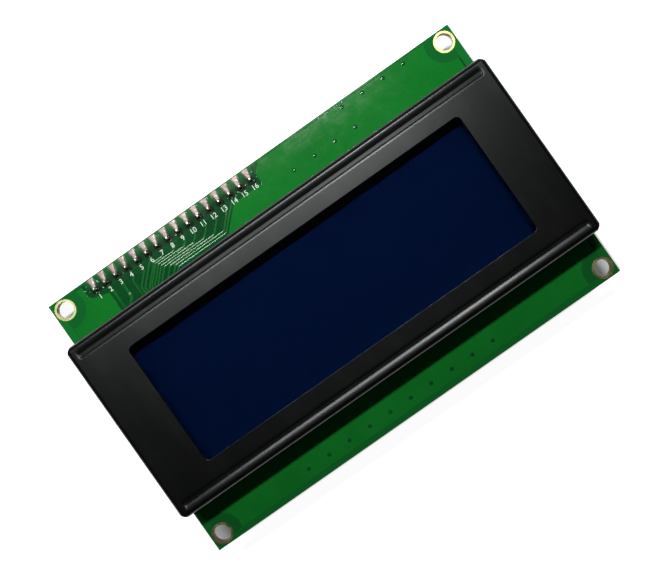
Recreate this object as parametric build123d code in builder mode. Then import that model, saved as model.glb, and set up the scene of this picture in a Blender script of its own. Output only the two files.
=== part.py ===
import os

from build123d import *

os.makedirs("parts", exist_ok=True)

# A character display module, in millimetres.
# The origin is the centre of the mounting holes on the board's back face.
# +X runs along the board, +Y points to the contact row and +Z to the viewer.

# Circuit board and its four plated mounting holes
board_length = 98.0
board_width = 60.0
board_thickness = 1.6
copper = 0.05
hole_margin = 2.5
hole_diameter = 3.5
hole_pad_diameter = 4.4

# Row of sixteen contacts along the board's upper edge
contact_count = 16
contact_pitch = 2.54
contact_side_margin = 10.0
contact_edge_margin = 2.5
contact_bore = 1.0
contact_pad_width = 1.5
contact_pad_reach = 0.85
contact_pad_corner = 0.5
contact_pad_edge_gap = 0.15
contact_back_pad = 1.7

# Header pins, their plastic strip behind the board and their solder
pin_side = 0.64
pin_proud = 1.4
pin_tail = 6.0
pin_point = 0.4
pin_point_inset = 0.18
header_side = 2.54
header_notch = 0.35
tinning = 0.14
tinning_slope = 20.0
solder_rise = 1.0
solder_foot_radius = 0.74
solder_neck_radius = 0.48
solder_hollow = 0.13

# Plated through connections between the two faces of the board
via_radius = 0.3
via_pad_radius = 0.5
via_pitch = 5.0
top_via_count = 4
top_via_edge_margin = 1.3
top_via_start = 22.4
lower_via_edge_margin = 6.1
lower_via_start = 7.4
foot_via_count = 10
foot_via_edge_margin = 3.2
foot_via_start = -24.7

# Folded and pressed steel bezel
bezel_length = 97.7
bezel_width = 39.8
bezel_rise = 9.0
sheet = 0.5
bend_radius = 1.0
corner_cut = 1.2
diamond_sides = 4
corner_slit = 1.0
window_length = 77.0
window_width = 26.5
window_corner = 1.0
window_edge_radius = 0.05
ridge_width = 0.1
groove_width = 2.35
groove_end_margin = 1.6
groove_end_share = 0.5
groove_corner_share = 0.38
search = 0.01

# The groove's slopes: depth, width of the outer slope and width of the inner slope so far
groove_levels = (
    (0.0, 0.0, 0.0),
    (0.011, 0.2, 0.1),
    (0.018, 0.26, 0.3),
    (0.042, 0.44, 0.36),
    (0.089, 0.67, 0.44),
    (0.15, 0.9, 0.52),
    (0.19, 1.08, 0.57),
    (0.2, 1.2, 0.62),
)

# Rib under the groove, which rests on the glass
rib_growth = 0.25
rib_drop = 0.25

# Twisted tabs that hold the bezel to the board
tab_count = 4
tab_spacing = 24.0
tab_width = 2.0
tab_clearance = 0.2
tab_straight = 0.1
tab_twist_height = 0.5
tab_tail = 0.8
tab_twist = 35.0

# Liquid crystal cell
glass_thickness = 1.1
cell_gap = 0.05
seal_width = 1.2
seal_inset = 0.4
glass_side_gap = 1.0
glass_end_gap = 1.5
contact_ledge = 3.0
polarizer_thickness = 0.2
front_polarizer_overlap = 2.5
front_polarizer_clearance = 0.4

# Conductive rubber strips between the glass ledges and the board
strip_width = 1.8
strip_end_margin = 4.7
strip_clearance = 0.1

# Backlight
case_clearance = 0.3
case_floor = 1.0
case_end_wall = 1.7
cavity_right_wall = 4.7
seat_width = 1.3
ledge_clearance = 0.15
end_stop_clearance = 0.2
end_stop_rise = 2.0
rear_polarizer_clearance = 0.2
reflector_thickness = 0.15
guide_clearance = 0.2
diffuser_thickness = 0.25
film_gap = 1.4
led_count = 4
led_length = 3.5
led_depth = 1.2
led_height = 1.6
led_board_thickness = 0.8
led_board_clearance = 1.1
led_gap = 0.3
lead_side = 0.5
lead_spacing = 5.08
lead_hole = 0.9
lead_proud = 1.3
lead_solder_rise = 0.7
lead_solder_radius = 0.9
lead_solder_neck = 0.4
lead_solder_hollow = 0.125

# Parts on the board's back face
blob_count = 3
blob_pitch = 28.0
blob_length = 18.0
blob_width = 15.0
blob_height = 1.6
blob_corner = 6.0
blob_edge_radius = 1.3
blob_y = -1.0
chip_length = 2.0
chip_width = 1.25
chip_height = 0.5
chip_edge_radius = 0.08
resistor_count = 6
resistor_pitch = 3.4
resistor_x = 25.4
capacitor_count = 3
capacitor_pitch = 9.0
capacitor_height = 0.9
capacitor_x = -20.0
capacitor_y = -16.0

# Levels, from the back of the board upwards
board_back = 0.0
board_front = board_back + board_thickness
bezel_top = board_front + bezel_rise
bezel_under = bezel_top - sheet
cell_front = bezel_under - rib_drop
cell_middle = cell_front - glass_thickness
rear_glass_front = cell_middle - cell_gap
cell_back = rear_glass_front - glass_thickness
floor_top = board_front + case_floor
guide_back = floor_top + reflector_thickness
guide_front = cell_back - polarizer_thickness - film_gap - diffuser_thickness
led_board_top = guide_front + diffuser_thickness

# Places across the board
hole_spacing_x = board_length - 2 * hole_margin
hole_spacing_y = board_width - 2 * hole_margin
contact_start = contact_side_margin - board_length / 2
contact_y = board_width / 2 - contact_edge_margin
contact_places = [
    (contact_start + number * contact_pitch, contact_y) for number in range(contact_count)
]
wall_y = (bezel_width - sheet) / 2
groove_outer = bezel_width / 2 - bend_radius - ridge_width
groove_length = bezel_length - 2 * groove_end_margin
rib_inner = groove_outer - groove_width - rib_growth
resistor_y = (wall_y + contact_y) / 2

# Sizes of the cell and the backlight
front_glass_length = bezel_length - 2 * (sheet + glass_end_gap)
front_glass_width = bezel_width - 2 * (sheet + glass_side_gap)
rear_glass_width = front_glass_width - 2 * contact_ledge
front_polarizer_width = 2 * (rib_inner - front_polarizer_clearance)
strip_y = (front_glass_width - contact_ledge) / 2
case_length = bezel_length - 2 * (sheet + case_clearance)
case_width = bezel_width - 2 * (sheet + case_clearance)
strip_length = case_length - 2 * strip_end_margin
slot_width = strip_width + 2 * strip_clearance
cavity_width = 2 * strip_y - slot_width - 2 * seat_width
cavity_left = -case_length / 2 + case_end_wall
cavity_right = case_length / 2 - cavity_right_wall
cavity_length = cavity_right - cavity_left
cavity_middle = (cavity_left + cavity_right) / 2
led_board_length = cavity_width - 2 * led_board_clearance
led_pitch = led_board_length / led_count
led_board_x = cavity_left + strip_clearance + led_board_thickness / 2
led_x = led_board_x + (led_board_thickness + led_depth) / 2
guide_left = led_x + led_depth / 2 + led_gap
guide_right = cavity_right - guide_clearance
guide_length = guide_right - guide_left
guide_middle = (guide_left + guide_right) / 2
guide_width = cavity_width - 2 * guide_clearance
lead_places = [(led_board_x, -lead_spacing / 2), (led_board_x, lead_spacing / 2)]


def row(count, start, y, pitch):
    return [(start + number * pitch, y) for number in range(count)]


via_places = (
    row(top_via_count, top_via_start, board_width / 2 - top_via_edge_margin, via_pitch)
    + row(top_via_count, lower_via_start, board_width / 2 - lower_via_edge_margin, via_pitch)
    + row(foot_via_count, foot_via_start, foot_via_edge_margin - board_width / 2, via_pitch)
)

# The board, drilled for its plating, slotted for the bezel's tabs
with BuildPart() as circuit_board:
    with BuildSketch(Plane.XY.offset(board_back)):
        Rectangle(board_length, board_width)
        with GridLocations(hole_spacing_x, hole_spacing_y, 2, 2):
            Circle(hole_diameter / 2 + copper, mode=Mode.SUBTRACT)
        with Locations(contact_places):
            Circle(contact_bore / 2 + copper, mode=Mode.SUBTRACT)
        with Locations(via_places):
            Circle(via_radius, mode=Mode.SUBTRACT)
        with Locations(lead_places):
            Circle(lead_hole / 2, mode=Mode.SUBTRACT)
        with GridLocations(tab_spacing, 2 * wall_y, tab_count, 2):
            Rectangle(
                tab_width + 2 * tab_clearance,
                sheet + 2 * tab_clearance,
                mode=Mode.SUBTRACT,
            )
    extrude(amount=board_thickness)
circuit_board.part.label = "circuit_board"
export_step(circuit_board.part, "parts/circuit_board.step")

# A copper barrel with a ring on each face lines each mounting hole
hole_places = [
    (side_x * hole_spacing_x / 2, side_y * hole_spacing_y / 2)
    for side_y in (1, -1)
    for side_x in (-1, 1)
]
for number, place in enumerate(hole_places, start=1):
    with BuildPart() as hole_plating:
        with BuildSketch(Plane.XY.offset(board_back - copper)):
            with Locations(place):
                Circle(hole_pad_diameter / 2)
        extrude(amount=copper)
        with BuildSketch(Plane.XY.offset(board_front)):
            with Locations(place):
                Circle(hole_pad_diameter / 2)
        extrude(amount=copper)
        with BuildSketch(Plane.XY.offset(board_back)):
            with Locations(place):
                Circle(hole_diameter / 2 + copper)
        extrude(amount=board_thickness)
        with BuildSketch(Plane.XY.offset(board_back - copper)):
            with Locations(place):
                Circle(hole_diameter / 2)
        extrude(amount=board_thickness + 2 * copper, mode=Mode.SUBTRACT)
    hole_plating.part.label = f"hole_plating_{number}"
    export_step(hole_plating.part, f"parts/hole_plating_{number}.step")

# Each contact has a long front pad that runs to the board's edge, a plated bore and a back pad
pad_edge_y = board_width / 2 - contact_pad_edge_gap
pad_length = pad_edge_y - contact_y + contact_pad_reach
pad_middle_y = pad_edge_y - pad_length / 2
with BuildPart() as contact_pads:
    with BuildSketch(Plane.XY.offset(board_front)):
        with Locations([(x, pad_middle_y) for x, y in contact_places]):
            RectangleRounded(contact_pad_width, pad_length, contact_pad_corner)
    extrude(amount=copper)
    with BuildSketch(Plane.XY.offset(board_back - copper)):
        with Locations(contact_places):
            Circle(contact_back_pad / 2)
    extrude(amount=copper)
    with BuildSketch(Plane.XY.offset(board_back)):
        with Locations(contact_places):
            Circle(contact_bore / 2 + copper)
    extrude(amount=board_thickness)
    with BuildSketch(Plane.XY.offset(board_back - copper)):
        with Locations(contact_places):
            Circle(contact_bore / 2)
    extrude(amount=board_thickness + 2 * copper, mode=Mode.SUBTRACT)
contact_pads.part.label = "contact_pads"
export_step(contact_pads.part, "parts/contact_pads.step")

# Plugged copper connections with a small pad on each face
with BuildPart() as via_plating:
    with BuildSketch(Plane.XY.offset(board_back)):
        with Locations(via_places):
            Circle(via_radius)
    extrude(amount=board_thickness)
    for pad_back in (board_back - copper, board_front):
        with BuildSketch(Plane.XY.offset(pad_back)):
            with Locations(via_places):
                Circle(via_pad_radius)
        extrude(amount=copper)
via_plating.part.label = "via_plating"
export_step(via_plating.part, "parts/via_plating.step")

# Plastic strip of the header, notched between its pins
header_front = board_back - copper
with BuildPart() as header_body:
    with BuildSketch(Plane.XY.offset(header_front)):
        with Locations(contact_places):
            Rectangle(contact_pitch, header_side)
    extrude(amount=-header_side)
    with BuildSketch(Plane.XY.offset(header_front)) as notches:
        for end in range(contact_count + 1):
            notch_x = contact_start - contact_pitch / 2 + end * contact_pitch
            for side in (1, -1):
                with Locations((notch_x, contact_y + side * header_side / 2)):
                    RegularPolygon(header_notch, diamond_sides)
    extrude(amount=-header_side, mode=Mode.SUBTRACT)
    with BuildSketch(Plane.XY.offset(header_front)):
        with Locations(contact_places):
            Rectangle(pin_side, pin_side)
    extrude(amount=-header_side, mode=Mode.SUBTRACT)
header_body.part.label = "header_body"
export_step(header_body.part, "parts/header_body.step")

# Square header pins, pointed at both ends
pin_front = board_front + pin_proud
pin_back = header_front - header_side - pin_tail
pin_tip_side = pin_side - 2 * pin_point_inset
for number, place in enumerate(contact_places, start=1):
    with BuildPart() as header_pin:
        with BuildSketch(Plane.XY.offset(pin_back + pin_point)):
            with Locations(place):
                Rectangle(pin_side, pin_side)
        extrude(amount=pin_front - pin_back - 2 * pin_point)
        for shoulder, tip in (
            (pin_front - pin_point, pin_front),
            (pin_back + pin_point, pin_back),
        ):
            with BuildSketch(Plane.XY.offset(shoulder)):
                with Locations(place):
                    Rectangle(pin_side, pin_side)
            with BuildSketch(Plane.XY.offset(tip)):
                with Locations(place):
                    Rectangle(pin_tip_side, pin_tip_side)
            loft(ruled=True)
    header_pin.part.label = f"header_pin_{number}"
    export_step(header_pin.part, f"parts/header_pin_{number}.step")

# Solder fills each bore, tins the long pad and climbs the pin in a hollow cone
pad_front = board_front + copper
solder_top = pad_front + solder_rise
with BuildPart() as solder_joints:
    with BuildSketch(Plane.XY.offset(pad_front)):
        with Locations([(x, pad_middle_y) for x, y in contact_places]):
            RectangleRounded(contact_pad_width, pad_length, contact_pad_corner)
    extrude(amount=tinning, taper=tinning_slope)
    with BuildSketch(Plane.XY.offset(board_back - copper)):
        with Locations(contact_places):
            Circle(contact_bore / 2)
    extrude(amount=board_thickness + 2 * copper)
    for x, y in contact_places:
        with BuildSketch(Plane((x, y, 0), x_dir=(1, 0, 0), z_dir=(0, -1, 0))):
            with BuildLine():
                Line((0, pad_front), (solder_foot_radius, pad_front))
                SagittaArc(
                    (solder_foot_radius, pad_front),
                    (solder_neck_radius, solder_top),
                    solder_hollow,
                )
                Line((solder_neck_radius, solder_top), (0, solder_top))
                Line((0, solder_top), (0, pad_front))
            make_face()
        revolve(axis=Axis((x, y, 0), (0, 0, 1)))
    with BuildSketch(Plane.XY.offset(board_back - copper)):
        with Locations(contact_places):
            Rectangle(pin_side, pin_side)
    extrude(amount=solder_top - board_back + copper, mode=Mode.SUBTRACT)
solder_joints.part.label = "solder_joints"
export_step(solder_joints.part, "parts/solder_joints.step")


# Outline of a groove, or of the rib under it, at one of its levels
def groove_outline(side, level, growth):
    outer_slope, inner_slope = level[1:]
    end_slope = groove_end_share * outer_slope
    level_width = groove_width - outer_slope - inner_slope
    level_middle = groove_outer - outer_slope - level_width / 2
    with Locations((0, side * level_middle)):
        RectangleRounded(
            groove_length - 2 * end_slope + 2 * growth,
            level_width + 2 * growth,
            groove_corner_share * level_width + growth,
        )


# Both grooves, cut step by step from the face down
with BuildPart() as groove_cut:
    for upper, lower in zip(groove_levels, groove_levels[1:]):
        for side in (1, -1):
            with BuildSketch(Plane.XY.offset(bezel_top - upper[0])):
                groove_outline(side, upper, 0)
            with BuildSketch(Plane.XY.offset(bezel_top - lower[0])):
                groove_outline(side, lower, 0)
            loft(ruled=True)

# The ribs that the grooves raise on the sheet's underside
with BuildPart() as rib_form:
    for side in (1, -1):
        with BuildSketch(Plane.XY.offset(bezel_under)):
            groove_outline(side, groove_levels[0], rib_growth)
        with BuildSketch(Plane.XY.offset(cell_front)):
            groove_outline(side, groove_levels[-1], rib_growth)
        loft(ruled=True)


def inside_window(edge):
    return abs(edge.center().X) <= window_length / 2 and abs(edge.center().Y) <= window_width / 2


# Bezel, folded from one sheet with open corners and a pressed groove along each long side
with BuildPart() as bezel:
    with BuildSketch(Plane.XY.offset(board_front)):
        Rectangle(bezel_length, bezel_width)
    extrude(amount=bezel_rise)
    fillet(bezel.faces().sort_by(Axis.Z)[-1].edges(), radius=bend_radius)
    offset(amount=-sheet, openings=bezel.faces().sort_by(Axis.Z)[0])
    add(rib_form.part)
    add(groove_cut.part, mode=Mode.SUBTRACT)
    with BuildSketch(Plane.XY.offset(bezel_under)):
        RectangleRounded(window_length, window_width, window_corner)
    extrude(amount=sheet, mode=Mode.SUBTRACT)
    level_edges = bezel.edges().filter_by_position(Axis.Z, bezel_top - search, bezel_top + search)
    fillet(level_edges.filter_by(inside_window), radius=window_edge_radius)
    with BuildSketch(Plane.XY.offset(board_front)):
        with GridLocations(bezel_length, bezel_width, 2, 2):
            Rectangle(2 * corner_slit, 2 * corner_slit)
    extrude(amount=bezel_rise - bend_radius, mode=Mode.SUBTRACT)
    with BuildSketch(Plane.XY.offset(board_front)):
        with GridLocations(bezel_length, bezel_width, 2, 2):
            RegularPolygon(corner_cut, diamond_sides)
    extrude(amount=bezel_rise, mode=Mode.SUBTRACT)
    with BuildSketch(Plane.XY.offset(board_front)):
        with GridLocations(tab_spacing, 2 * wall_y, tab_count, 2):
            Rectangle(tab_width, sheet)
    extrude(amount=-board_thickness - tab_straight)
    for place in GridLocations(tab_spacing, 2 * wall_y, tab_count, 2).locations:
        tab_root = Plane.XY.offset(board_back - tab_straight)
        tab_turn = tab_root.offset(-tab_twist_height)
        with BuildSketch(tab_root):
            with Locations(place):
                Rectangle(tab_width, sheet)
        with BuildSketch(tab_turn):
            with Locations(place):
                Rectangle(tab_width, sheet, rotation=tab_twist)
        loft(ruled=True)
        with BuildSketch(tab_turn):
            with Locations(place):
                Rectangle(tab_width, sheet, rotation=tab_twist)
        extrude(amount=-tab_tail)
bezel.part.label = "bezel"
export_step(bezel.part, "parts/bezel.step")

# Front polarizing film, wider than the window
with BuildPart() as front_polarizer:
    with BuildSketch(Plane.XY.offset(cell_front)):
        Rectangle(window_length + 2 * front_polarizer_overlap, front_polarizer_width)
    extrude(amount=polarizer_thickness)
front_polarizer.part.label = "front_polarizer"
export_step(front_polarizer.part, "parts/front_polarizer.step")

# Front glass, whose long ledges press on the conductive strips
with BuildPart() as front_glass:
    with BuildSketch(Plane.XY.offset(cell_middle)):
        Rectangle(front_glass_length, front_glass_width)
    extrude(amount=glass_thickness)
front_glass.part.label = "front_glass"
export_step(front_glass.part, "parts/front_glass.step")

# Seal around the liquid crystal, between the two glasses
seal_length = front_glass_length - 2 * seal_inset
seal_outer_width = rear_glass_width - 2 * seal_inset
with BuildPart() as cell_seal:
    with BuildSketch(Plane.XY.offset(rear_glass_front)):
        Rectangle(seal_length, seal_outer_width)
        Rectangle(
            seal_length - 2 * seal_width,
            seal_outer_width - 2 * seal_width,
            mode=Mode.SUBTRACT,
        )
    extrude(amount=cell_gap)
cell_seal.part.label = "cell_seal"
export_step(cell_seal.part, "parts/cell_seal.step")

# Rear glass, narrower than the front one
with BuildPart() as rear_glass:
    with BuildSketch(Plane.XY.offset(cell_back)):
        Rectangle(front_glass_length, rear_glass_width)
    extrude(amount=glass_thickness)
rear_glass.part.label = "rear_glass"
export_step(rear_glass.part, "parts/rear_glass.step")

# Rear polarizing film, inside the case's rim
with BuildPart() as rear_polarizer:
    with BuildSketch(Plane.XY.offset(cell_back)):
        with Locations((cavity_middle, 0)):
            Rectangle(
                cavity_length - 2 * rear_polarizer_clearance,
                cavity_width - 2 * rear_polarizer_clearance,
            )
    extrude(amount=-polarizer_thickness)
rear_polarizer.part.label = "rear_polarizer"
export_step(rear_polarizer.part, "parts/rear_polarizer.step")

# Conductive rubber strips, pressed between the board and the front glass
for strip_name, side in (("upper_strip", 1), ("lower_strip", -1)):
    with BuildPart() as conductive_strip:
        with BuildSketch(Plane.XY.offset(board_front)):
            with Locations((0, side * strip_y)):
                Rectangle(strip_length, strip_width)
        extrude(amount=cell_middle - board_front)
    conductive_strip.part.label = f"conductive_{strip_name}"
    export_step(conductive_strip.part, f"parts/conductive_{strip_name}.step")

# White case that carries the glass, holds the strips and the backlight
with BuildPart() as backlight_case:
    with BuildSketch(Plane.XY.offset(board_front)):
        Rectangle(case_length, case_width)
    extrude(amount=cell_back - board_front)
    with BuildSketch(Plane.XY.offset(cell_back)):
        Rectangle(case_length, case_width)
        Rectangle(case_length, 2 * strip_y, mode=Mode.SUBTRACT)
    extrude(amount=cell_middle - ledge_clearance - cell_back)
    with BuildSketch(Plane.XY.offset(cell_back)):
        Rectangle(case_length, rear_glass_width)
        Rectangle(
            front_glass_length + 2 * end_stop_clearance,
            rear_glass_width,
            mode=Mode.SUBTRACT,
        )
    extrude(amount=end_stop_rise)
    with BuildSketch(Plane.XY.offset(floor_top)):
        with Locations((cavity_middle, 0)):
            Rectangle(cavity_length, cavity_width)
    extrude(amount=cell_back - floor_top, mode=Mode.SUBTRACT)
    with BuildSketch(Plane.XY.offset(board_front)):
        with Locations((0, strip_y), (0, -strip_y)):
            Rectangle(strip_length + 2 * strip_clearance, slot_width)
    extrude(amount=cell_middle - board_front, mode=Mode.SUBTRACT)
    with BuildSketch(Plane.XY.offset(board_front)):
        with Locations(lead_places):
            Circle(lead_hole / 2)
    extrude(amount=case_floor, mode=Mode.SUBTRACT)
backlight_case.part.label = "backlight_case"
export_step(backlight_case.part, "parts/backlight_case.step")

# White reflecting film under the light guide
with BuildPart() as reflector:
    with BuildSketch(Plane.XY.offset(floor_top)):
        with Locations((guide_middle, 0)):
            Rectangle(guide_length, guide_width)
    extrude(amount=reflector_thickness)
reflector.part.label = "reflector"
export_step(reflector.part, "parts/reflector.step")

# Clear light guide
with BuildPart() as light_guide:
    with BuildSketch(Plane.XY.offset(guide_back)):
        with Locations((guide_middle, 0)):
            Rectangle(guide_length, guide_width)
    extrude(amount=guide_front - guide_back)
light_guide.part.label = "light_guide"
export_step(light_guide.part, "parts/light_guide.step")

# Milky diffusing film on the light guide
with BuildPart() as diffuser:
    with BuildSketch(Plane.XY.offset(guide_front)):
        with Locations((guide_middle, 0)):
            Rectangle(guide_length, guide_width)
    extrude(amount=diffuser_thickness)
diffuser.part.label = "diffuser"
export_step(diffuser.part, "parts/diffuser.step")

# Upright board for the light emitting diodes, at the guide's left end
with BuildPart() as led_board:
    with BuildSketch(Plane.XY.offset(floor_top)):
        with Locations((led_board_x, 0)):
            Rectangle(led_board_thickness, led_board_length)
    extrude(amount=led_board_top - floor_top)
led_board.part.label = "led_board"
export_step(led_board.part, "parts/led_board.step")

# Light emitting diodes that shine into the guide's end
led_back = (guide_back + guide_front - led_height) / 2
led_places = [(number - (led_count - 1) / 2) * led_pitch for number in range(led_count)]
for number, led_y in enumerate(led_places, start=1):
    with BuildPart() as led:
        with BuildSketch(Plane.XY.offset(led_back)):
            with Locations((led_x, led_y)):
                Rectangle(led_depth, led_length)
        extrude(amount=led_height)
    led.part.label = f"led_{number}"
    export_step(led.part, f"parts/led_{number}.step")

# Leads from the diode board down through the case and the circuit board
lead_back = board_back - lead_proud
for number, place in enumerate(lead_places, start=1):
    with BuildPart() as backlight_lead:
        with BuildSketch(Plane.XY.offset(lead_back)):
            with Locations(place):
                Rectangle(lead_side, lead_side)
        extrude(amount=floor_top - lead_back)
    backlight_lead.part.label = f"backlight_lead_{number}"
    export_step(backlight_lead.part, f"parts/backlight_lead_{number}.step")

# Solder around the two leads on the board's back face
with BuildPart() as lead_solder:
    with BuildSketch(Plane.XY.offset(board_back)):
        with Locations(lead_places):
            Circle(lead_hole / 2)
    extrude(amount=board_thickness)
    for x, y in lead_places:
        with BuildSketch(Plane((x, y, 0), x_dir=(1, 0, 0), z_dir=(0, -1, 0))):
            with BuildLine():
                Line((0, board_back), (lead_solder_radius, board_back))
                SagittaArc(
                    (lead_solder_radius, board_back),
                    (lead_solder_neck, board_back - lead_solder_rise),
                    -lead_solder_hollow,
                )
                Line(
                    (lead_solder_neck, board_back - lead_solder_rise),
                    (0, board_back - lead_solder_rise),
                )
                Line((0, board_back - lead_solder_rise), (0, board_back))
            make_face()
        revolve(axis=Axis((x, y, 0), (0, 0, 1)))
    with BuildSketch(Plane.XY.offset(board_back - lead_solder_rise)):
        with Locations(lead_places):
            Rectangle(lead_side, lead_side)
    extrude(amount=lead_solder_rise + board_thickness, mode=Mode.SUBTRACT)
lead_solder.part.label = "lead_solder"
export_step(lead_solder.part, "parts/lead_solder.step")

# Black resin domes over the bare driver chips on the board's back face
for number in range(blob_count):
    blob_x = (number - (blob_count - 1) / 2) * blob_pitch
    with BuildPart() as chip_dome:
        with BuildSketch(Plane.XY.offset(board_back)):
            with Locations((blob_x, blob_y)):
                RectangleRounded(blob_length, blob_width, blob_corner)
        extrude(amount=-blob_height)
        fillet(chip_dome.faces().sort_by(Axis.Z)[0].edges(), radius=blob_edge_radius)
    chip_dome.part.label = f"chip_dome_{number + 1}"
    export_step(chip_dome.part, f"parts/chip_dome_{number + 1}.step")


# Small surface parts on the board's back face
def chip_row(count, start, y, pitch, height):
    with BuildPart() as chips:
        with BuildSketch(Plane.XY.offset(board_back)):
            with Locations(row(count, start, y, pitch)):
                Rectangle(chip_length, chip_width)
        extrude(amount=-height)
        fillet(chips.edges().filter_by(Axis.Z), radius=chip_edge_radius)
    return chips


resistors = chip_row(resistor_count, resistor_x, resistor_y, resistor_pitch, chip_height)
resistors.part.label = "resistors"
export_step(resistors.part, "parts/resistors.step")

capacitors = chip_row(
    capacitor_count, capacitor_x, capacitor_y, capacitor_pitch, capacitor_height
)
capacitors.part.label = "capacitors"
export_step(capacitors.part, "parts/capacitors.step")
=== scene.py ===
import math
import random

import bmesh
import bpy
from mathutils import Matrix, Vector
from mathutils.geometry import tessellate_polygon


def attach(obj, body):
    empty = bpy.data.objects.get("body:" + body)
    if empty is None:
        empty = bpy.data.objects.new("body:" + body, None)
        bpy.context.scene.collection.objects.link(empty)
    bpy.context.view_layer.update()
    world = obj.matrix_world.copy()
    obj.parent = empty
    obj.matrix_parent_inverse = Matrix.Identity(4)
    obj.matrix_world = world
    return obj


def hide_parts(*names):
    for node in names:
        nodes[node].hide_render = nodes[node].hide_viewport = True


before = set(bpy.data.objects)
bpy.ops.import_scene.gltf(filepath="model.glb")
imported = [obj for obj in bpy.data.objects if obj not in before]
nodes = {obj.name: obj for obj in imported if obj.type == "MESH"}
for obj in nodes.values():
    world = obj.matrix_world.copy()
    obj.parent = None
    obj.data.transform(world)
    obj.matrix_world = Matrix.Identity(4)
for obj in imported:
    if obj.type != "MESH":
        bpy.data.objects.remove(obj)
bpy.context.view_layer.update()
MM = 0.001
scene = bpy.context.scene


# Levels and places on the module, in millimetres
BOARD_FRONT = 1.6
BEZEL_HALF_Y = 19.9
HOLE_X = 46.5
HOLE_Y = 27.5
CONTACT_START = -39.0
CONTACT_PITCH = 2.54
CONTACT_COUNT = 16
CONTACTS = [CONTACT_START + CONTACT_PITCH * i for i in range(CONTACT_COUNT)]
VIA_PITCH = 5.0
VIA_ROWS = ((22.4, 28.7, 4), (7.4, 23.9, 4), (-24.7, -26.8, 10))  # first X, Y and count
VIAS = [(start + VIA_PITCH * i, y) for start, y, count in VIA_ROWS for i in range(count)]
FLOOR_Z = -8.59

# Where the looks change over the board: from and to, in metres as the materials' coordinates are
HAZE_IN_X = (-0.004, 0.004)
HAZE_OUT_X = (0.012, 0.024)
HAZE_IN_Y = (0.0255, 0.0292)
ROW_IN_X = (-0.0409, -0.0401)
ROW_OUT_X = (0.0001, 0.0009)
ROW_LIGHT_Y = (0.0277, 0.0292)
ROW_SHADOW_IN_Y = (0.0262, 0.0274)
ROW_SHADOW_OUT_Y = (0.0276, 0.0286)
LAND_BURNT_SHADE_Y = (0.0277, 0.0281)
SCORCH_SHADOW_Y = 0.0271
SCORCH_SHADOW_HALF_X = 0.95  # millimetres, as the distance from a contact is
SCORCH_SHADOW_HALF_Y = 0.00078
BARE_RING = (0.0041, 0.0046)
RIM_SIDE_X = (0.04725, 0.0475)
RIM_FOOT_Y = (-0.02855, -0.0288)
RIM_TOP_Y = (0.0294, 0.0297)
RIM_PAINTED_SHADE_Y = (-0.029, 0.005)
MASK_PAINTED_SHADE_Y = (-0.026, 0.022)

# Camera at the photograph's viewing angle: its axes, its place in metres and its lens
CAMERA_RIGHT = (0.81776, -0.57531, -0.01671)
CAMERA_UP = (0.57513, 0.81793, -0.01461)
CAMERA_BACK = (0.02208, 0.00234, 0.99975)
CAMERA_PLACE = (0.00335, -0.00036, 0.17346)
CAMERA_SENSOR = 36.0
CAMERA_LENS = 46.35
CAMERA_NEAR = 0.01
CAMERA_FAR = 10.0


def make_camera():
    data = bpy.data.cameras.new("camera")
    data.sensor_fit = "HORIZONTAL"
    data.sensor_width = CAMERA_SENSOR
    data.lens = CAMERA_LENS
    data.clip_start = CAMERA_NEAR
    data.clip_end = CAMERA_FAR
    cam = bpy.data.objects.new("camera", data)
    scene.collection.objects.link(cam)
    columns = (CAMERA_RIGHT, CAMERA_UP, CAMERA_BACK, CAMERA_PLACE)
    cam.matrix_world = Matrix(
        [[column[i] for column in columns] for i in range(3)] + [(0, 0, 0, 1)]
    )
    scene.camera = cam


make_camera()


# Colours and node materials
def srgb(r, g, b):
    """A colour given in levels from 0 to 255 as the screen shows them."""

    def one(c):
        c /= 255.0
        return c / 12.92 if c <= 0.04045 else ((c + 0.055) / 1.055) ** 2.4

    return (one(r), one(g), one(b), 1.0)


WHITE = (1.0, 1.0, 1.0, 1.0)
BLACK = (0.0, 0.0, 0.0, 1.0)


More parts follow.
